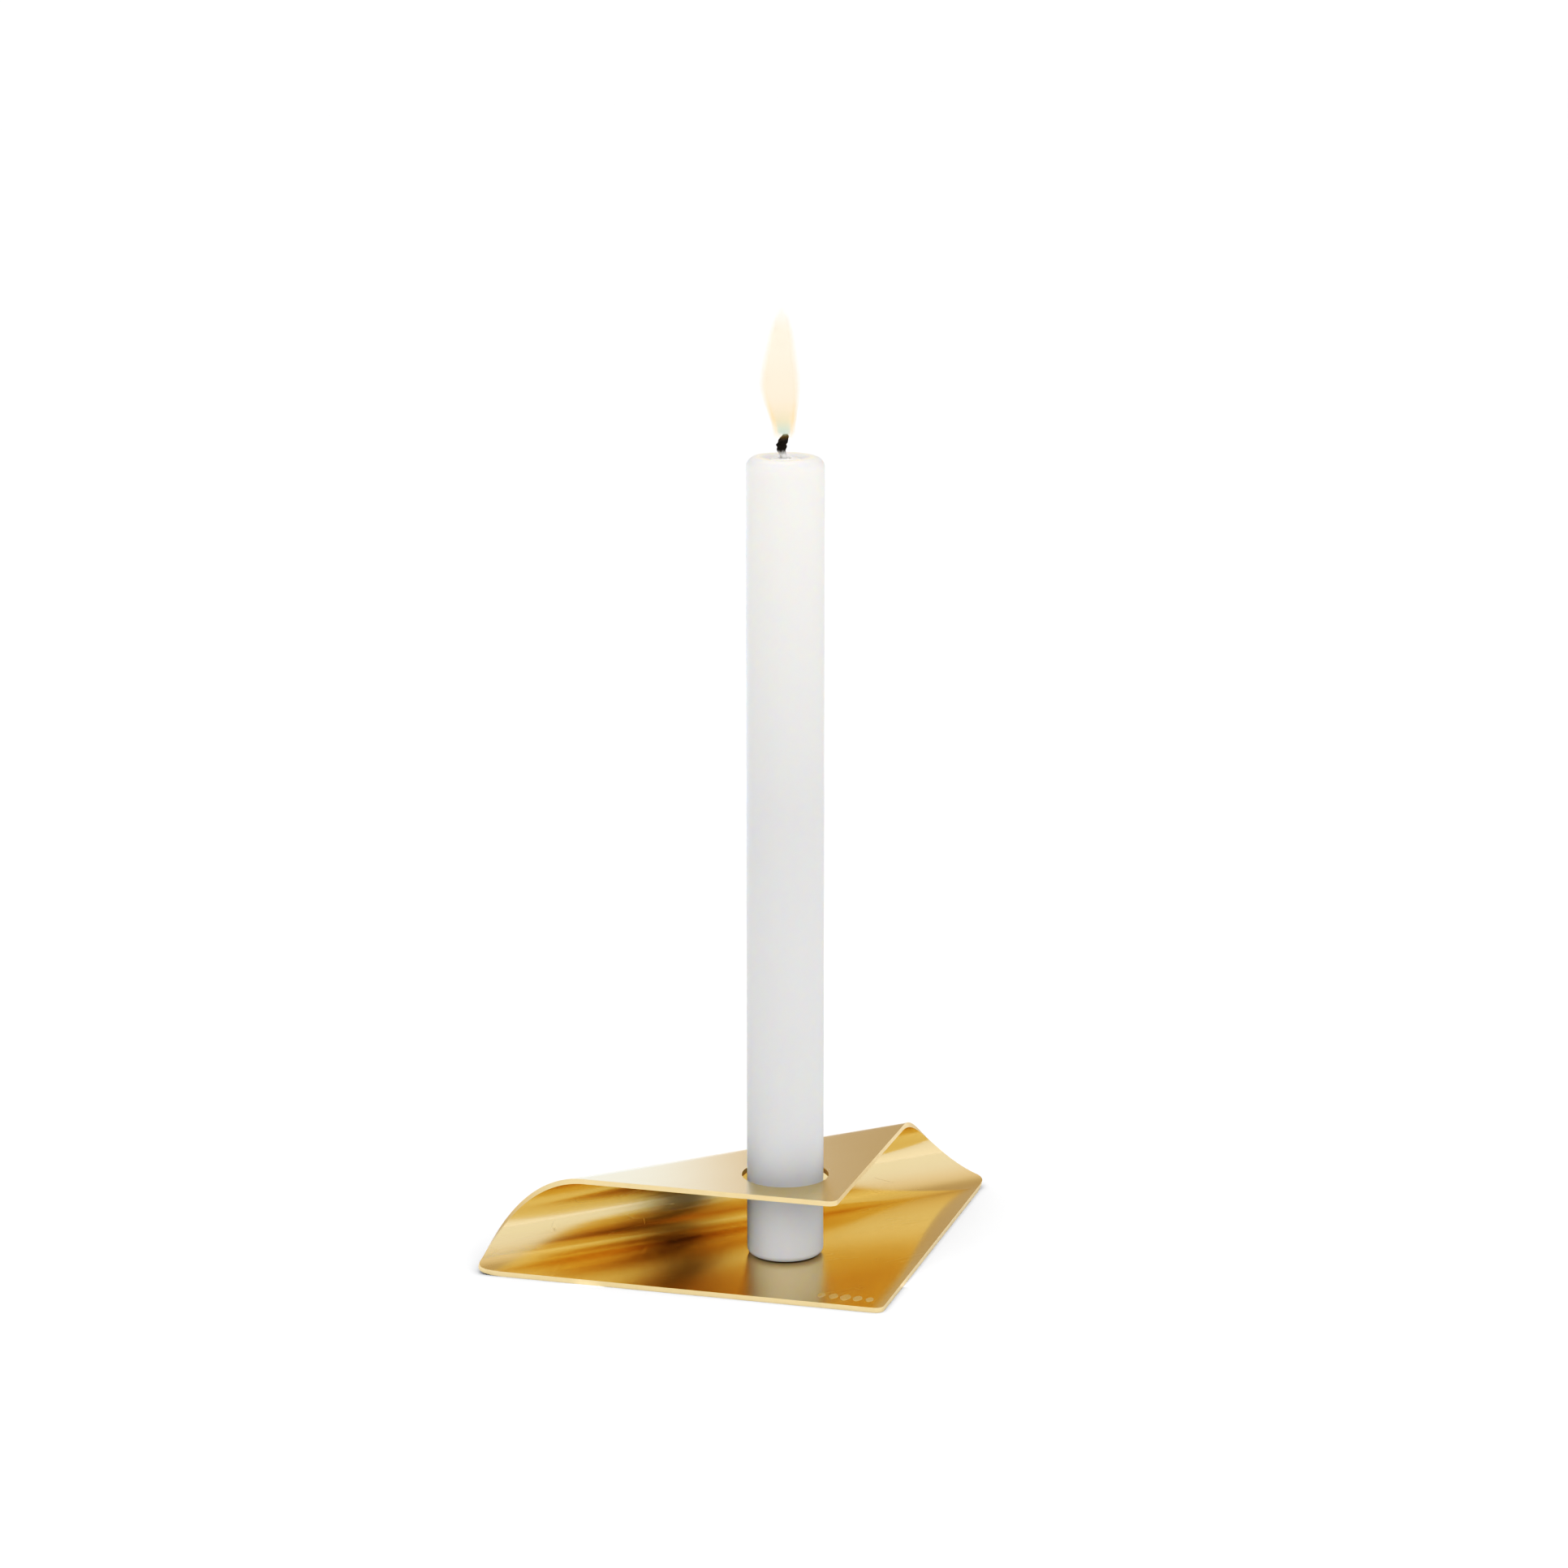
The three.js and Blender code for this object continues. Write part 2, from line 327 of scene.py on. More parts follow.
def candle_wax():
    """Cast paraffin: light soaks into it, and its skin has a soft gloss. Its colour holds painted light:
    lighter and warmer towards the flame, a painted shade over the top and a painted glow round the dish.
    """
    s = Shader("candle_wax")
    place = s.object_place()
    height = s.height_of(place)
    cloud = s.noise(s.mapped(place, (60.0, 60.0, 22.0)), 1.0, detail=3.0)
    skin = s.noise(place, 900.0, detail=3.0, roughness=0.6)
    waves = s.noise(s.mapped(place, (120.0, 120.0, 14.0)), 1.0, detail=1.0)
    body = s.blend(cloud, *WAX_BODY)
    # painted light: the wax is coloured lighter and warmer over its top 100 mm, for the flame's light
    painted_flame_light = s.span(height, CANDLE_TOP - 100 * MM, CANDLE_TOP, 0.0, 1.0)
    side = s.blend(painted_flame_light, body, WAX_PAINTED_FLAME_LIGHT)
    # painted shade: the top 3 mm are coloured darker, against the strong light from overhead
    painted_top_share = s.span(height, CANDLE_TOP - 3.0 * MM, CANDLE_TOP - 1.0 * MM, 0.0, 1.0)
    radius = s.add(
        "ShaderNodeVectorMath", {0: s.mapped(place, (1.0, 1.0, 0.0))}, operation="LENGTH"
    ).outputs["Value"]
    from_rim = s.math("ABSOLUTE", s.math("SUBTRACT", radius, DISH_RADIUS))
    # painted light: a warm ring round the dish's edge, for the flame's glow
    rim = s.math("MULTIPLY", s.span(from_rim, 0.0, 1.5 * MM, 1.0, 0.0), painted_top_share)
    top = s.blend(rim, WAX_PAINTED_TOP_SHADE, WAX_PAINTED_RIM_GLOW)
    color = s.blend(painted_top_share, side, top)
    normal = s.bump(waves, 0.05 * MM)
    normal = s.bump(skin, 0.003 * MM, normal)
    s.surface(
        Base_Color=color, Roughness=s.span(skin, 0.3, 0.7, 0.36, 0.46), Normal=normal, IOR=WAX_IOR,
        Subsurface_Weight=1.0, Subsurface_Radius=(1.0, 0.72, 0.42), Subsurface_Scale=1.8 * MM,
    )
    return s.material


def molten_wax():
    """Liquid wax in the dish, smoother and paler than the set wax."""
    s = Shader("molten_wax")
    place = s.object_place()
    ripple = s.noise(place, 260.0, detail=1.0)
    s.surface(
        Base_Color=s.blend(ripple, *WAX_MOLTEN), Roughness=s.span(ripple, 0.3, 0.7, 0.18, 0.26),
        Normal=s.bump(ripple, 0.01 * MM), IOR=WAX_IOR,
    )
    return s.material


def wick_cotton():
    """Plaited cotton: pale where it is soaked in wax, charred black where it burns."""
    s = Shader("wick_cotton")
    place = s.object_place()
    height = s.height_of(place)
    fibre = s.noise(s.mapped(place, (1500.0, 1500.0, 700.0)), 1.0, detail=5.0, roughness=0.7)
    edge = s.math("ADD", height, s.span(fibre, 0.0, 1.0, -1.1 * MM, 1.1 * MM))
    char = s.span(edge, CANDLE_TOP + 0.6 * MM, CANDLE_TOP + 2.0 * MM, 0.0, 1.0)
    cotton = s.blend(fibre, *COTTON)
    black = s.blend(s.math("POWER", fibre, 2.0), *CHAR)
    s.surface(
        Base_Color=s.blend(char, cotton, black), Roughness=s.span(fibre, 0.3, 0.7, 0.7, 0.95),
        Normal=s.bump(fibre, 0.12 * MM),
    )
    return s.material


def glowing_gas(name, colors, covers, appears, fades):
    """One zone of the flame. colors are its three colours and covers how much each of its surfaces
    hides of what is behind, both from the foot up. It appears and fades between two pairs of shares
    of the flame's height."""
    foot_color, low_color, color = colors
    foot_cover, cover = covers
    s = Shader(name)
    place = s.object_place()
    height = s.height_of(place)
    share = s.span(height, FLAME_LOW.z, FLAME_HIGH.z, 0.0, 1.0)
    wisp = s.noise(s.mapped(place, (160.0, 160.0, 40.0)), 1.0, detail=2.0)
    wavy = s.math("ADD", share, s.span(wisp, 0.0, 1.0, -0.05, 0.05))
    lower = s.blend(s.span(wavy, 0.02, 0.16, 0.0, 1.0), foot_color, low_color)
    tint = s.blend(s.span(wavy, 0.25, 0.65, 0.0, 1.0), lower, color)
    body = s.span(wavy, 0.0, 0.3, foot_cover, cover)
    ends = s.math("MULTIPLY", s.span(share, *appears, 0.0, 1.0), s.span(share, *fades, 1.0, 0.0))
    hides = s.math("MULTIPLY", body, ends)
    glow = s.add("ShaderNodeEmission", {"Color": tint, "Strength": 1.0}).outputs[0]
    clear = s.add("ShaderNodeBsdfTransparent").outputs[0]
    mixed = s.add("ShaderNodeMixShader", {0: hides, 1: clear, 2: glow}).outputs[0]
    s.tree.links.new(mixed, s.output.inputs["Surface"])
    s.tree.nodes.remove(s.principled)
    return s.material


def pale_floor():
    """The studio floor: matt and almost white."""
    s = Shader("pale_floor")
    place = s.object_place()
    fine = s.noise(place, 35.0, detail=3.0)
    s.surface(
        Base_Color=s.blend(fine, (0.93, 0.93, 0.93, 1), (0.945, 0.945, 0.945, 1)),
        Roughness=s.span(fine, 0.3, 0.7, 0.75, 0.85), Specular_IOR_Level=0.2,
    )
    return s.material


# ---------------------------------------------------------------- the folded sheet


def half_width_at(across):
    """Half the flat square's width along the fold, at a distance across it."""
    r, sharp = CORNER_RADIUS, HALF_DIAGONAL - abs(across)
    if abs(across) < r / math.sqrt(2):
        return HALF_DIAGONAL - r * math.sqrt(2) + math.sqrt(r * r - across * across)
    if sharp < r / math.sqrt(2):
        to_centre = r * math.sqrt(2) - sharp
        return math.sqrt(max(r * r - to_centre * to_centre, 0.0))
    return sharp


def sheet_rows():
    """Where the flat sheet gets a row of vertices: often round its corners and along the bend."""
    r = CORNER_RADIUS
    centre = HALF_DIAGONAL - r * math.sqrt(2)
    tip = [centre + r * math.cos(a) for a in spread(math.pi / 40, math.pi / 4, 9)]
    side = spread(-r / math.sqrt(2), r / math.sqrt(2), 16)
    bend = spread(BEND_START, BEND_END, 96)
    flats = spread(-tip[-1], BEND_START, 24) + spread(BEND_END, tip[-1], 24)
    rows = sorted([*tip, *(-t for t in tip), *side, *bend, *flats])
    return [v for i, v in enumerate(rows) if i == 0 or v - rows[i - 1] > 0.03 * MM]


def fold(point):
    """Moves a point of the flat sheet (along the fold, across it, up) to its folded place."""
    along, across, up = point
    turn = min(max((across - BEND_START) / FOLD_RADIUS, 0.0), math.pi)
    radius = FOLD_RADIUS - up
    flat = min(across - BEND_START, 0.0) - max(across - BEND_END, 0.0)
    return Vector((
        along, FOLD_Y + radius * math.sin(turn) + flat, FOLDED_HEIGHT / 2 - radius * math.cos(turn)
    ))


def flat_blank():
    """The flat square with its thickness, as a bmesh."""
    bm = bmesh.new()
    columns = spread(-1.0, 1.0, 10)
    bottom, top = (
        [[bm.verts.new((c * half_width_at(v), v, up)) for c in columns] for v in sheet_rows()]
        for up in (-THICKNESS / 2, THICKNESS / 2)
    )
    last_row, last_column = len(bottom) - 1, len(columns) - 1
    for i in range(last_row):
        for j in range(last_column):
            bm.faces.new((top[i][j], top[i][j + 1], top[i + 1][j + 1], top[i + 1][j]))
            bm.faces.new((bottom[i][j], bottom[i + 1][j], bottom[i + 1][j + 1], bottom[i][j + 1]))
        bm.faces.new((bottom[i][0], top[i][0], top[i + 1][0], bottom[i + 1][0]))
        bm.faces.new((
            bottom[i][last_column], bottom[i + 1][last_column], top[i + 1][last_column],
            top[i][last_column],
        ))
    for j in range(last_column):
        bm.faces.new((bottom[0][j], bottom[0][j + 1], top[0][j + 1], top[0][j]))
        bm.faces.new((
            bottom[last_row][j], top[last_row][j], top[last_row][j + 1], bottom[last_row][j + 1]
        ))
    bmesh.ops.recalc_face_normals(bm, faces=bm.faces)
    return bm


def punch_hole(blank):
    """Cuts the candle's hole in the flat blank and returns the cut mesh as a bmesh."""
    bm = bmesh.new()
    bmesh.ops.create_cone(
        bm, cap_ends=True, segments=144, radius1=HOLE_RADIUS, radius2=HOLE_RADIUS, depth=4 * THICKNESS
    )
    bmesh.ops.translate(bm, verts=bm.verts, vec=(0, HOLE_ACROSS, 0))
    punch = mesh_object("punch", bm, [])
    cut = blank.modifiers.new("hole", "BOOLEAN")
    cut.object, cut.operation, cut.solver = punch, "DIFFERENCE", "EXACT"
    evaluated = blank.evaluated_get(bpy.context.evaluated_depsgraph_get())
    result = bmesh.new()
    result.from_mesh(evaluated.to_mesh())
    evaluated.to_mesh_clear()
    for scrap in (punch, blank):
        bpy.data.objects.remove(scrap)
    return result


def soften_edges(bm):
    """Rounds the outline's and the hole's edges, so that they catch the light."""
    sharp = [
        e for e in bm.edges
        if len(e.link_faces) == 2 and e.calc_face_angle() > math.radians(50)
    ]
    bmesh.ops.bevel(
        bm, geom=sharp, offset=EDGE_SOFTNESS, segments=3, profile=0.5, affect="EDGES", clamp_overlap=True
    )


def folded_sheet(face_material, edge_material):
    """The holder: the flat blank, punched, softened, mapped flat and then folded."""
    bm = punch_hole(mesh_object("blank", flat_blank(), []))
    soften_edges(bm)
    bm.normal_update()
    flat_uv = bm.loops.layers.uv.new("flat_sheet")
    for face in bm.faces:
        face.material_index = 0 if abs(face.normal.z) > 0.75 else 1
        for loop in face.loops:
            loop[flat_uv].uv = (loop.vert.co.x / MM, loop.vert.co.y / MM)
    for vertex in bm.verts:
        vertex.co = fold(vertex.co)
    piece = mesh_object("brass_sheet", bm, [face_material, edge_material])
    weigh = piece.modifiers.new("even_flats", "WEIGHTED_NORMAL")
    weigh.keep_sharp = False
    return piece


# ---------------------------------------------------------------- the ornament on the lower layer

MARK_COUNT = 5
MARK_PITCH = 3.5 * MM
MARK_SIZE = (1.55 * MM, 2.6 * MM)  # half a lozenge's width and height
MARK_FROM_CORNER = Vector((12.2 * MM, 6.2 * MM))  # along the left front edge, and in from it
MARK_RISE = 0.05 * MM
MARK_TAPER = 0.13  # how much of its size a lozenge loses for each step from the middle
MARK_SHARPNESS = 1.25  # 1 is an ellipse, and 2 a lozenge with straight sides
# A lozenge's rings, as shares of its size and of MARK_RISE: a rounded edge and a sunk middle.
MARK_RINGS = ((1.0, 0.0), (1.0, 0.5), (0.9, 0.9), (0.8, 1.0), (0.55, 1.0), (0.48, 0.55))


def lozenge(angle):
    """A point of an outline of half size 1, as shares of its half width and half height."""
    c, s = math.cos(angle), math.sin(angle)
    return math.copysign(abs(c) ** MARK_SHARPNESS, c), math.copysign(abs(s) ** MARK_SHARPNESS, s)


def ornament(material):
    """A row of small lozenges beside the front corner, along the left front edge."""
    along = Vector((1, -1, 0)).normalized()
    inward = Vector((1, 1, 0)).normalized()
    corner = Vector((0, SHEET_LOW.y - CORNER_CUT, THICKNESS))
    centre = corner - along * MARK_FROM_CORNER.x + inward * MARK_FROM_CORNER.y
    outline = [lozenge(2 * math.pi * k / 32) for k in range(32)]
    bm = bmesh.new()
    for i in range(MARK_COUNT):
        from_middle = i - (MARK_COUNT - 1) / 2
        middle = centre + along * MARK_PITCH * from_middle
        shrink = 1.0 - MARK_TAPER * abs(from_middle)
        rings = []
        for inset, rise in MARK_RINGS:
            wide, tall = (MARK_SIZE[0] * shrink * inset, MARK_SIZE[1] * shrink * inset)
            up = Vector((0, 0, MARK_RISE * rise))
            rings.append([middle + along * (wide * x) + inward * (tall * y) + up for x, y in outline])
        cap_ends(bm, loft(bm, rings))
    bmesh.ops.recalc_face_normals(bm, faces=bm.faces)
    return mesh_object("lozenge_ornament", bm, [material])


# ---------------------------------------------------------------- the candle


def dish_floor(radius):
    """The height of the melted dish at a distance from the axis."""
    return CANDLE_TOP - DISH_DEPTH / 2 * (1 + math.cos(math.pi * radius / DISH_RADIUS))


def wax_body(material):
    """The wax, bored for the wick, with a rolled foot and shoulder, a dish and slight unevenness."""
    profile = [(WICK_HOLE, WAX_LOW.z)]
    profile += arc(CANDLE_RADIUS - FOOT_RADIUS, WAX_LOW.z + FOOT_RADIUS, FOOT_RADIUS, -90, 0, 12)
    sides_low, sides_high = WAX_LOW.z + FOOT_RADIUS, CANDLE_TOP - SHOULDER_RADIUS
    profile += [(CANDLE_RADIUS, z) for z in spread(sides_low, sides_high, 60)[1:-1]]
    profile += arc(CANDLE_RADIUS - SHOULDER_RADIUS, sides_high, SHOULDER_RADIUS, 0, 90, 16)
    profile += [(r, dish_floor(r)) for r in spread(DISH_RADIUS, WICK_HOLE, 20)]
    profile += [(WICK_HOLE, z) for z in spread(dish_floor(WICK_HOLE), WAX_LOW.z, 20)[1:-1]]
    bm = bmesh.new()
    loft(bm, turned(profile, 128), closed=True)
    for vertex in bm.verts:
        roll_off = smoothstep(CANDLE_TOP - vertex.co.z, 0.0, 12 * MM)
        uneven = noise.noise(vertex.co * 45) * 0.07 * MM
        soft_top = noise.noise(vertex.co * 170 + Vector((5, 0, 0))) * 0.13 * MM * (1 - roll_off)
        outward = Vector((vertex.co.x, vertex.co.y, 0)).normalized()
        if vertex.co.xy.length > WICK_HOLE * 1.5 and vertex.co.z > WAX_LOW.z + FOOT_RADIUS:
            vertex.co += outward * uneven + Vector((0, 0, soft_top))
    bmesh.ops.recalc_face_normals(bm, faces=bm.faces)
    return mesh_object("candle_body", bm, [material])


def melt_pool(material):
    """Liquid wax that fills the dish to its level and creeps up its rim and the wick."""
    level = POOL_HIGH.z
    inner, outer, lip = 1.75 * MM, POOL_HIGH.x, 0.25 * MM
    gap = 0.05 * MM
    floor = [
        (r, max(dish_floor(r) + gap * (1 - r / outer), POOL_LOW.z)) for r in spread(inner, outer, 14)
    ]
    rim_rise = dish_floor(outer + lip) + 0.01 * MM - level
    creep = [
        (r, level + rim_rise * math.exp((r - outer - lip) / (0.4 * MM))
         + 0.12 * MM * math.exp((inner - r) / (0.4 * MM)))
        for r in spread(outer + lip, inner, 26)
    ]
    bm = bmesh.new()
    loft(bm, turned(floor + creep, 96), closed=True)
    bmesh.ops.recalc_face_normals(bm, faces=bm.faces)
    return mesh_object("liquid_wax", bm, [material])


# ---------------------------------------------------------------- wick and flame

DISH_BOTTOM = CANDLE_TOP - DISH_DEPTH
WICK_REACH = WICK_HIGH.z - DISH_BOTTOM
WICK_SWAY, WICK_CURL = 1.05 * MM, 1.15 * MM


def wick_offset(z):
    """How far the wick leans at a height: back as it leaves the wax, and then over at its tip."""
    height = z - DISH_BOTTOM
    sway = smoothstep(height, 0.8 * MM, 3.4 * MM)
    curl = smoothstep(height, 4.6 * MM, WICK_REACH + 0.4 * MM)
    return WICK_CURL * curl - WICK_SWAY * sway


def plaited_wick(material):
    """Three strands laid round each other, frayed and thinned where they have burnt."""
    strands, turns_per_metre, around = 3, 210, 48
    rings = []
    for z in [*spread(WAX_LOW.z, DISH_BOTTOM, 40)[:-1], *spread(DISH_BOTTOM, WICK_HIGH.z, 90)]:
        burnt = smoothstep(z, CANDLE_TOP + 0.5 * MM, CANDLE_TOP + 3 * MM)
        tip = smoothstep(z, WICK_HIGH.z - 0.9 * MM, WICK_HIGH.z)
        swell = burnt * (1 - smoothstep(z, WICK_HIGH.z - 2.5 * MM, WICK_HIGH.z))
        ring = []
        for k in range(around):
            a = 2 * math.pi * k / around
            lobe = abs(math.cos(strands * (a - 2 * math.pi * turns_per_metre * z) / 2))
            rough = noise.noise(Vector((math.cos(a) * 2.2, math.sin(a) * 2.2, z * 1700))) * 0.14 * burnt
            r = WICK_RADIUS * (0.80 + 0.20 * lobe + rough) * (1 + 0.34 * swell) * (1 - 0.34 * tip)
            ring.append((r * math.cos(a), r * math.sin(a), z))
        rings.append(shift_by_lean(ring, wick_offset))
    bm = bmesh.new()
    cap_ends(bm, loft(bm, rings))
    bmesh.ops.recalc_face_normals(bm, faces=bm.faces)
    return mesh_object("plaited_wick", bm, [material])


# Half the flame's width at shares of the way up it, from its mouth round the wick to its tip.
FLAME_SHARES = (-0.03, 0.0, 0.12, 0.4, 0.66, 0.82, 0.92, 0.975)
FLAME_HALF_WIDTHS = (
    1.7 * MM, 2.3 * MM, 3.15 * MM, 5.1 * MM, 3.85 * MM, 2.65 * MM, 1.5 * MM, 0.25 * MM
)
FLAME_OFFSET, FLAME_BELLY_OFFSET, FLAME_TIP_OFFSET = 0.4 * MM, 1.5 * MM, 1.0 * MM
FLAME_HEIGHT = FLAME_HIGH.z - FLAME_LOW.z
ROUNDED_FROM = 0.8  # the share of a rounded sheath's height where its top starts to close


def smooth_through(x, xs, ys):
    """A smooth curve through the points, with slopes taken between each point's neighbours."""
    slopes = np.gradient(np.array(ys), np.array(xs))
    i = int(np.clip(np.searchsorted(xs, x) - 1, 0, len(xs) - 2))
    step = xs[i + 1] - xs[i]
    t = (x - xs[i]) / step
    return (
        (2 * t**3 - 3 * t**2 + 1) * ys[i] + (t**3 - 2 * t**2 + t) * step * slopes[i]
        + (3 * t**2 - 2 * t**3) * ys[i + 1] + (t**3 - t**2) * step * slopes[i + 1]
    )


def flame_offset(z):
    """How far the flame's middle is from the axis at a height, along LEAN."""
    share = (z - FLAME_LOW.z) / FLAME_HEIGHT
    out, back = smoothstep(share, 0.05, 0.42), smoothstep(share, 0.45, 0.9)
    return (
        -FLAME_OFFSET - (FLAME_BELLY_OFFSET - FLAME_OFFSET) * out
        + (FLAME_BELLY_OFFSET - FLAME_TIP_OFFSET) * back
    )


def flame_zone(name, material, sizes, low, high, rounded=False):
    """Nested sheaths between two shares of the flame's height. sizes are their shares of its width.
    A narrower sheath is also shorter. rounded closes their tops in a curve."""
    bm = bmesh.new()
    for size in sizes:
        top = low + (high - low) * (0.88 + 0.12 * size)
        profile = []
        for t in spread(0.0, 1.0, 56):
            share = low + (top - low) * t
            past = max(t - ROUNDED_FROM, 0) / (1 - ROUNDED_FROM)
            closing = math.sqrt(max(1 - past**2, 0.0)) if rounded else 1.0
            width = float(smooth_through(share / top * high, FLAME_SHARES, FLAME_HALF_WIDTHS))
            radius = max(width * size * closing, 0.02 * MM)
            profile.append((radius, FLAME_LOW.z + share * FLAME_HEIGHT))
        made = loft(bm, [shift_by_lean(ring, flame_offset) for ring in turned(profile, 64)])
        bm.faces.new(made[-1])
    return mesh_object(name, bm, [material])


def flame():
    """The amber mantle, the bright luminous body and the blue-green root round the wick."""
    mantle = glowing_gas(
        "flame_glow_outer", ((1.0, 0.68, 0.22, 1), (1.0, 0.67, 0.20, 1), (1.0, 0.83, 0.48, 1)),
        (0.10, 0.038), appears=(0.0, 0.15), fades=(0.80, 1.02),
    )
    luminous = glowing_gas(
        "flame_glow_inner", ((0.90, 0.94, 0.86, 1), (1.0, 0.94, 0.86, 1), (1.0, 0.955, 0.86, 1)),
        (0.15, 0.27), appears=(0.04, 0.18), fades=(0.62, 0.90),
    )
    root = glowing_gas(
        "flame_glow_root", ((0.40, 0.76, 0.80, 1), (0.62, 0.88, 0.86, 1), (0.86, 0.95, 0.93, 1)),
        (0.42, 0.12), appears=(0.025, 0.075), fades=(0.10, 0.26),
    )
    return [
        flame_zone("flame_mantle", mantle, (1.12, 1.07, 1.02, 0.97, 0.92, 0.87, 0.82), -0.03, 0.975),
        flame_zone("flame_luminous", luminous, (0.78, 0.72, 0.65, 0.56), 0.01, 0.90),
        flame_zone("flame_root", root, (0.62, 0.50, 0.36), 0.0, 0.26, rounded=True),
    ]


# ---------------------------------------------------------------- the studio

CAMERA_AZIMUTH = math.radians(-28.88)
CAMERA_TILT = math.radians(12.938)
CAMERA_DISTANCE = 1.22406  # level, from the candle's axis
CAMERA_HEIGHT = 0.42144
CAMERA_LENS = 102.17
CAMERA_SENSOR = 36.0
CAMERA_SHIFT = -0.0008


def direction(azimuth, elevation):
    """A unit vector for an azimuth from +Y towards +X and an elevation, in degrees."""
    a, e = math.radians(azimuth), math.radians(elevation)
    return Vector((math.sin(a) * math.cos(e), math.cos(a) * math.cos(e), math.sin(e)))


def camera():
    """The camera, at the height and side that show the open front of the fold."""
    data = bpy.data.cameras.new("camera")
    data.lens, data.sensor_width, data.shift_x = CAMERA_LENS, CAMERA_SENSOR, CAMERA_SHIFT
    data.clip_end = 50
    eye = bpy.data.objects.new("camera", data)
    eye.location = (
        CAMERA_DISTANCE * math.sin(CAMERA_AZIMUTH), -CAMERA_DISTANCE * math.cos(CAMERA_AZIMUTH),
        CAMERA_HEIGHT,
    )
    eye.rotation_euler = (math.pi / 2 - CAMERA_TILT, 0, CAMERA_AZIMUTH)
    bpy.context.scene.collection.objects.link(eye)
    bpy.context.scene.camera = eye


def soft_box(name, place, look_at, size, radiance, color=(1, 1, 1), only_glossy=False):
    """A rectangular lamp that the camera doesn't see. radiance 1 shows as white in a mirror."""
    data = bpy.data.lights.new(name, "AREA")
    data.shape = "RECTANGLE"
    data.size, data.size_y = size
    data.energy = radiance * math.pi * size[0] * size[1]
    data.color = color
    lamp = bpy.data.objects.new(name, data)
    lamp.location = place
    lamp.rotation_euler = (Vector(look_at) - Vector(place)).to_track_quat("-Z", "Y").to_euler()
    lamp.visible_camera = False
    if only_glossy:
        lamp.visible_diffuse = False
        lamp.visible_transmission = False
    bpy.context.scene.collection.objects.link(lamp)
    return lamp


def flame_lamp():
    """The little light that the flame throws on the wax."""
    data = bpy.data.lights.new("flame_lamp", "POINT")
    data.energy = 0.006
    data.shadow_soft_size = 3 * MM
    data.color = (1.0, 0.80, 0.52)
    lamp = bpy.data.objects.new("flame_lamp", data)
    middle = FLAME_LOW.z + 0.4 * FLAME_HEIGHT
    lamp.location = LEAN * flame_offset(middle) + Vector((0, 0, middle))
    lamp.visible_camera = False
    bpy.context.scene.collection.objects.link(lamp)
    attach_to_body(lamp, "candle")


DOME_LOW, DOME_HIGH = 0.30, 2.00  # the light on matt surfaces, from the sides and from overhead
DOME_DIM = 0.4  # what is left of it round DIM_SIDE
BACKDROP = 1.05  # a little over white, so that it shows as plain white

# What shiny surfaces reflect of the room, by the cosine of the angle from DIM_SIDE: a warm dim wall
# there, and then brighter and cooler all the way round to the window side.
DIM_SIDE = direction(28, 18)
TOWARDS_CAMERA = direction(209, 0)
ROOM_COLORS = (
    (-0.60, (0.99, 1.02, 1.09)),
    (-0.15, (0.96, 0.97, 0.99)),
    (0.10, (0.94, 0.89, 0.85)),
    (0.35, (0.90, 0.82, 0.74)),
    (0.56, (0.83, 0.73, 0.64)),
    (0.68, (0.70, 0.60, 0.51)),
    (0.80, (0.57, 0.47, 0.39)),
    (1.00, (0.56, 0.46, 0.38)),
)


def studio_air():
    """The room round the object. The camera sees plain white, matt surfaces see a dome that is
    brightest overhead, and shiny ones see ROOM_COLORS."""
    world = bpy.data.worlds.new("studio")
    world.use_nodes = True
    world.cycles.sampling_method = "NONE"
    world.node_tree.nodes.clear()
    n = Nodes(world.node_tree)

    def background(color, strength):
        return n.add("ShaderNodeBackground", {"Color": color, "Strength": strength}).outputs[0]

    outward = n.add("ShaderNodeTexCoord").outputs["Generated"]
    towards = n.add(
        "ShaderNodeVectorMath", {0: outward, 1: DIM_SIDE}, operation="DOT_PRODUCT"
    ).outputs["Value"]
    stops = [((cosine + 1) / 2, color) for cosine, color in ROOM_COLORS]
    reflected = background(n.ramp(n.span(towards, -1.0, 1.0, 0.0, 1.0), stops), 1.0)
    up = n.height_of(outward)
    brightness = n.math(
        "MULTIPLY", n.span(up, 0.0, 1.0, DOME_LOW, DOME_HIGH), n.span(towards, 0.0, 0.9, 1.0, DOME_DIM)
    )
    dome = background((1, 1, 1, 1), brightness)
    plain = background((1, 1, 1, 1), BACKDROP)
    ray = n.add("ShaderNodeLightPath").outputs
    matt = n.add("ShaderNodeMixShader", {0: ray["Is Diffuse Ray"], 1: reflected, 2: dome}).outputs[0]
    seen = n.add("ShaderNodeMixShader", {0: ray["Is Camera Ray"], 1: matt, 2: plain}).outputs[0]
    n.add("ShaderNodeOutputWorld", {"Surface": seen})
    bpy.context.scene.world = world


FLOOR_HALF = 4.0


def floor():
    """A wide flat floor under the object."""
    bm = bmesh.new()
    signs = ((-1, -1), (1, -1), (1, 1), (-1, 1))
    bm.faces.new([bm.verts.new((x * FLOOR_HALF, y * FLOOR_HALF, 0)) for x, y in signs])
    mesh_object("studio_floor", bm, [pale_floor()])


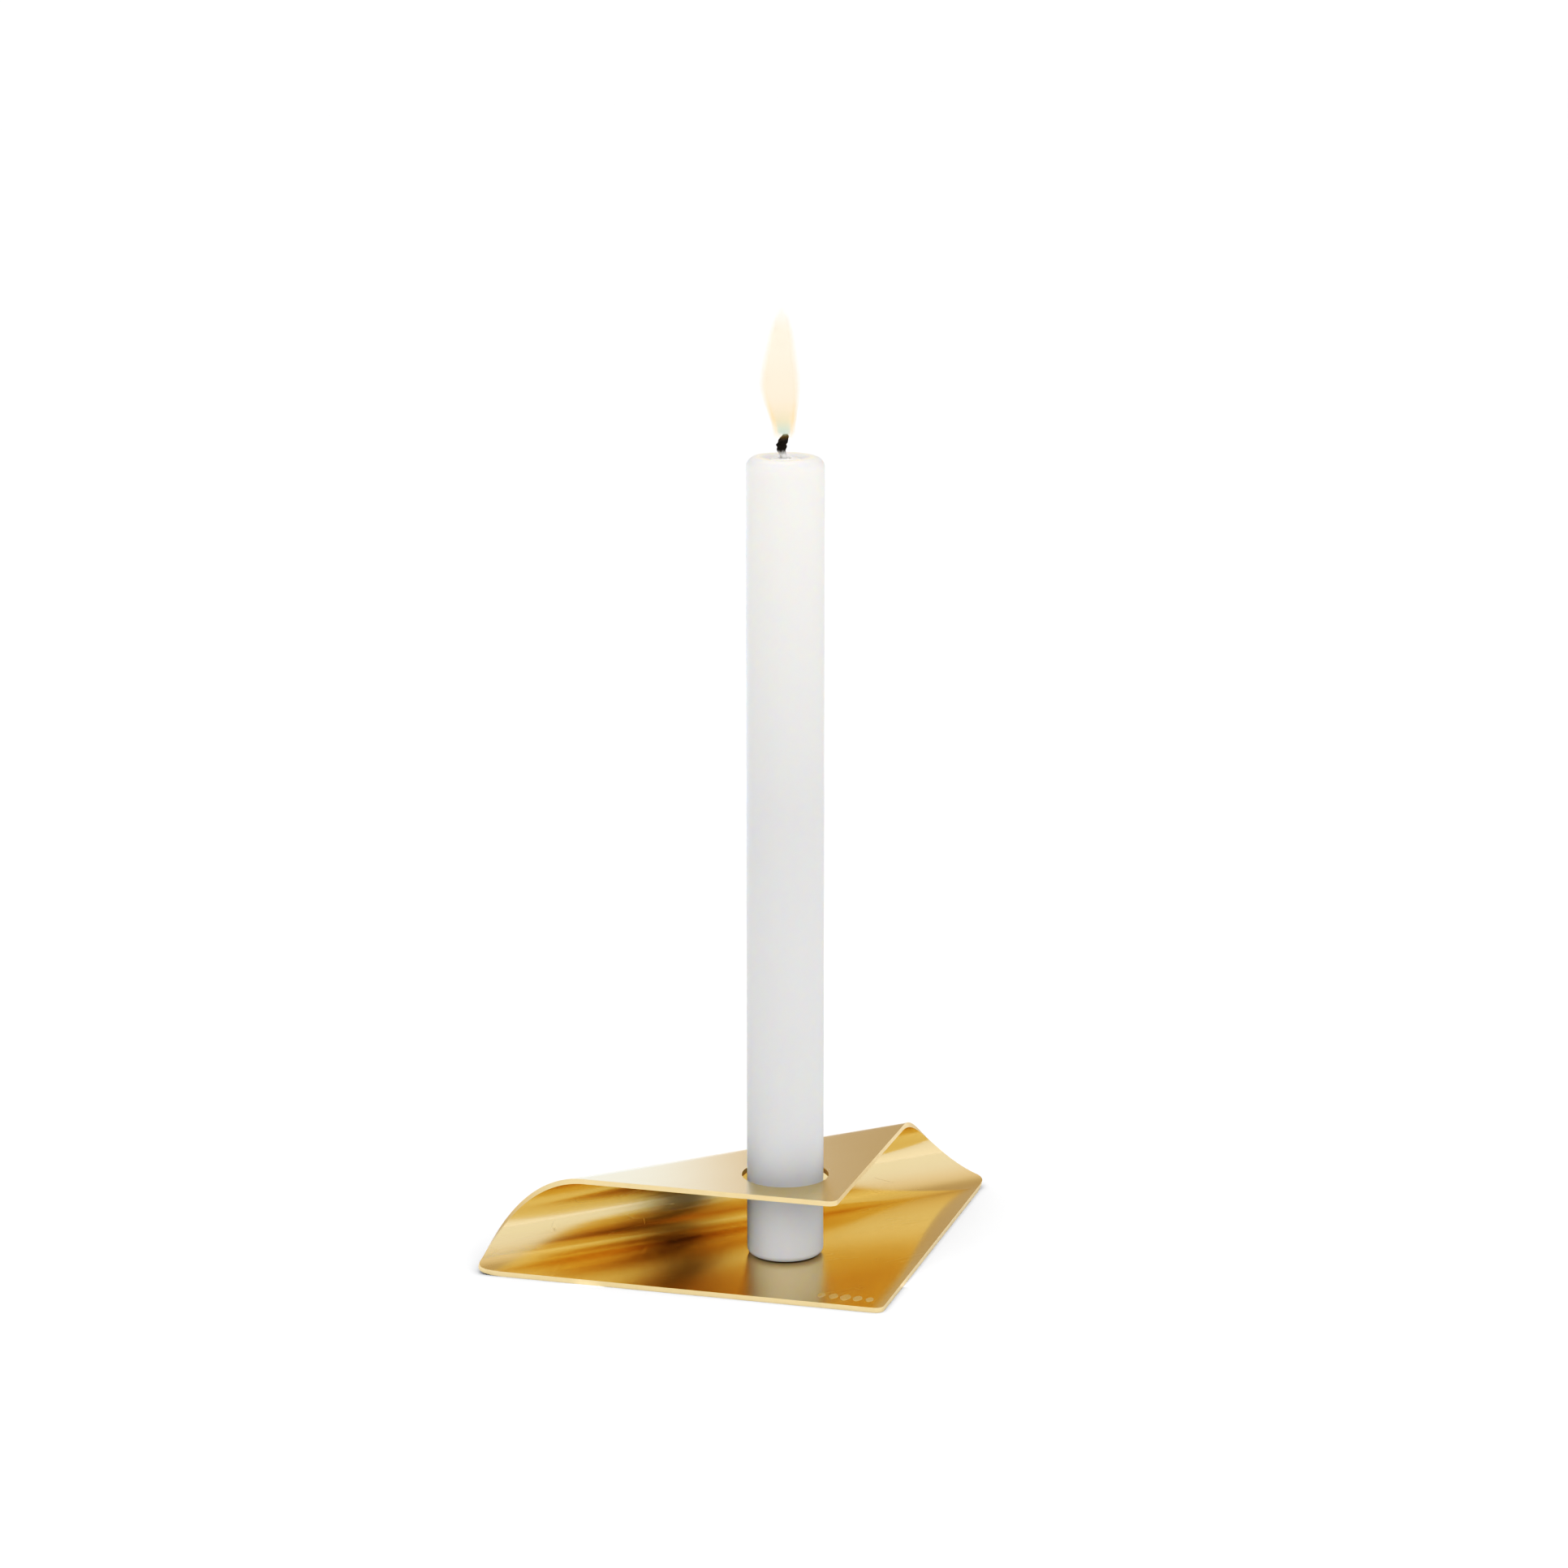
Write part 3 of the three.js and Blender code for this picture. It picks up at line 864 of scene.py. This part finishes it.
def cards():
    """Two panels behind the object that the upper layer mirrors on its left. Only shiny surfaces see
    them: a wide neutral one, and a bluer one whose edge lies further left."""
    middle = Vector((0, 5 * MM, FOLDED_HEIGHT))
    ahead = direction(28, 17.5)
    aside = Vector((ahead.y, -ahead.x, 0)).normalized()
    size = (0.26, 0.26)
    for name, edge, radiance, color in (
        ("card_wide", 0.010, 0.32, (1.0, 0.97, 0.93)),
        ("card_blue", -0.015, 0.85, (0.18, 0.50, 1.0)),
    ):
        place = middle + ahead * 0.36 + aside * (edge - size[0] / 2)
        soft_box(name, place, middle, size, radiance, color, only_glossy=True)


def brass_glows():
    """Small lamps for the light that the sheet would throw on the candle. Reflective caustics are
    off, so the brass itself lights nothing. They light matt surfaces only, and stay with the holder."""
    bend = (-28 * MM, SHEET_HIGH.y - 5 * MM, FOLDED_HEIGHT / 2)
    front = TOWARDS_CAMERA * 2.4 * CANDLE_RADIUS + Vector((0, 0, THICKNESS))
    candle, foot = Vector((0, 0, FOLDED_HEIGHT / 2)), Vector((0, 0, THICKNESS))
    below = TOWARDS_CAMERA * (CANDLE_RADIUS + 18 * MM) + Vector((0, 0, THICKNESS + 0.1 * MM))
    overhead = below + Vector((0, 0, 1))
    for name, place, aim, size, radiance, color in (
        ("glow_from_bend", bend, candle, (50 * MM, 17 * MM), 0.22, (1.0, 0.80, 0.36)),
        ("glow_from_front", front, foot, (120 * MM, 10 * MM), 1.15, (1.0, 0.98, 0.97)),
        ("glow_from_below", below, overhead, (60 * MM, 60 * MM), 0.30, (1.0, 0.93, 0.84)),
    ):
        glow = soft_box(name, Vector(place), aim, size, radiance, color)
        glow.visible_glossy = False
        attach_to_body(glow, "holder")


# The picture's tone line: straight, but for a soft toe that keeps the deep golds rich.
TONE_TOE = ((0.05, 0.010), (0.10, 0.036), (0.20, 0.126), (0.35, 0.310))


def tone(view):
    """Sets the view: plain sRGB, with TONE_TOE in the combined curve."""
    view.view_transform = "Standard"
    view.use_curve_mapping = True
    mapping = view.curve_mapping
    for point in TONE_TOE:
        mapping.curves[3].points.new(*point)
    mapping.update()


def studio():
    """The camera, floor, room and lamps, and how light is followed."""
    scene = bpy.context.scene
    tone(scene.view_settings)
    scene.cycles.max_bounces = 16
    scene.cycles.glossy_bounces = 12
    scene.cycles.transparent_max_bounces = 48
    scene.cycles.caustics_reflective = False
    camera()
    floor()
    studio_air()
    cards()
    key = soft_box("key_front", direction(188, 32) * 1.5, (0, 0, 0.05), (1.2, 1.2), 0.55)
    key.visible_glossy = False
    brass_glows()
    flame_lamp()


# ---------------------------------------------------------------- the whole


def attach(piece, body, slot, *replaced):
    """Makes a piece ride a body, and hides the CAD nodes that it replaces. slot is not used."""
    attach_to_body(piece, body)
    if replaced:
        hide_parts(*replaced)


studio()
attach(folded_sheet(satin_brass(), cut_brass()), "holder", "satin_brass", "folded_sheet")
attach(ornament(marked_brass()), "holder", "satin_brass")
attach(wax_body(candle_wax()), "candle", "candle_wax", "wax_body")
attach(melt_pool(molten_wax()), "candle", "molten_wax", "melt_pool")
attach(plaited_wick(wick_cotton()), "candle", "wick_cotton", "wick")
mantle, luminous, root = flame()
attach(mantle, "candle", "flame_glow", "flame")
attach(luminous, "candle", "flame_glow")
attach(root, "candle", "flame_glow")
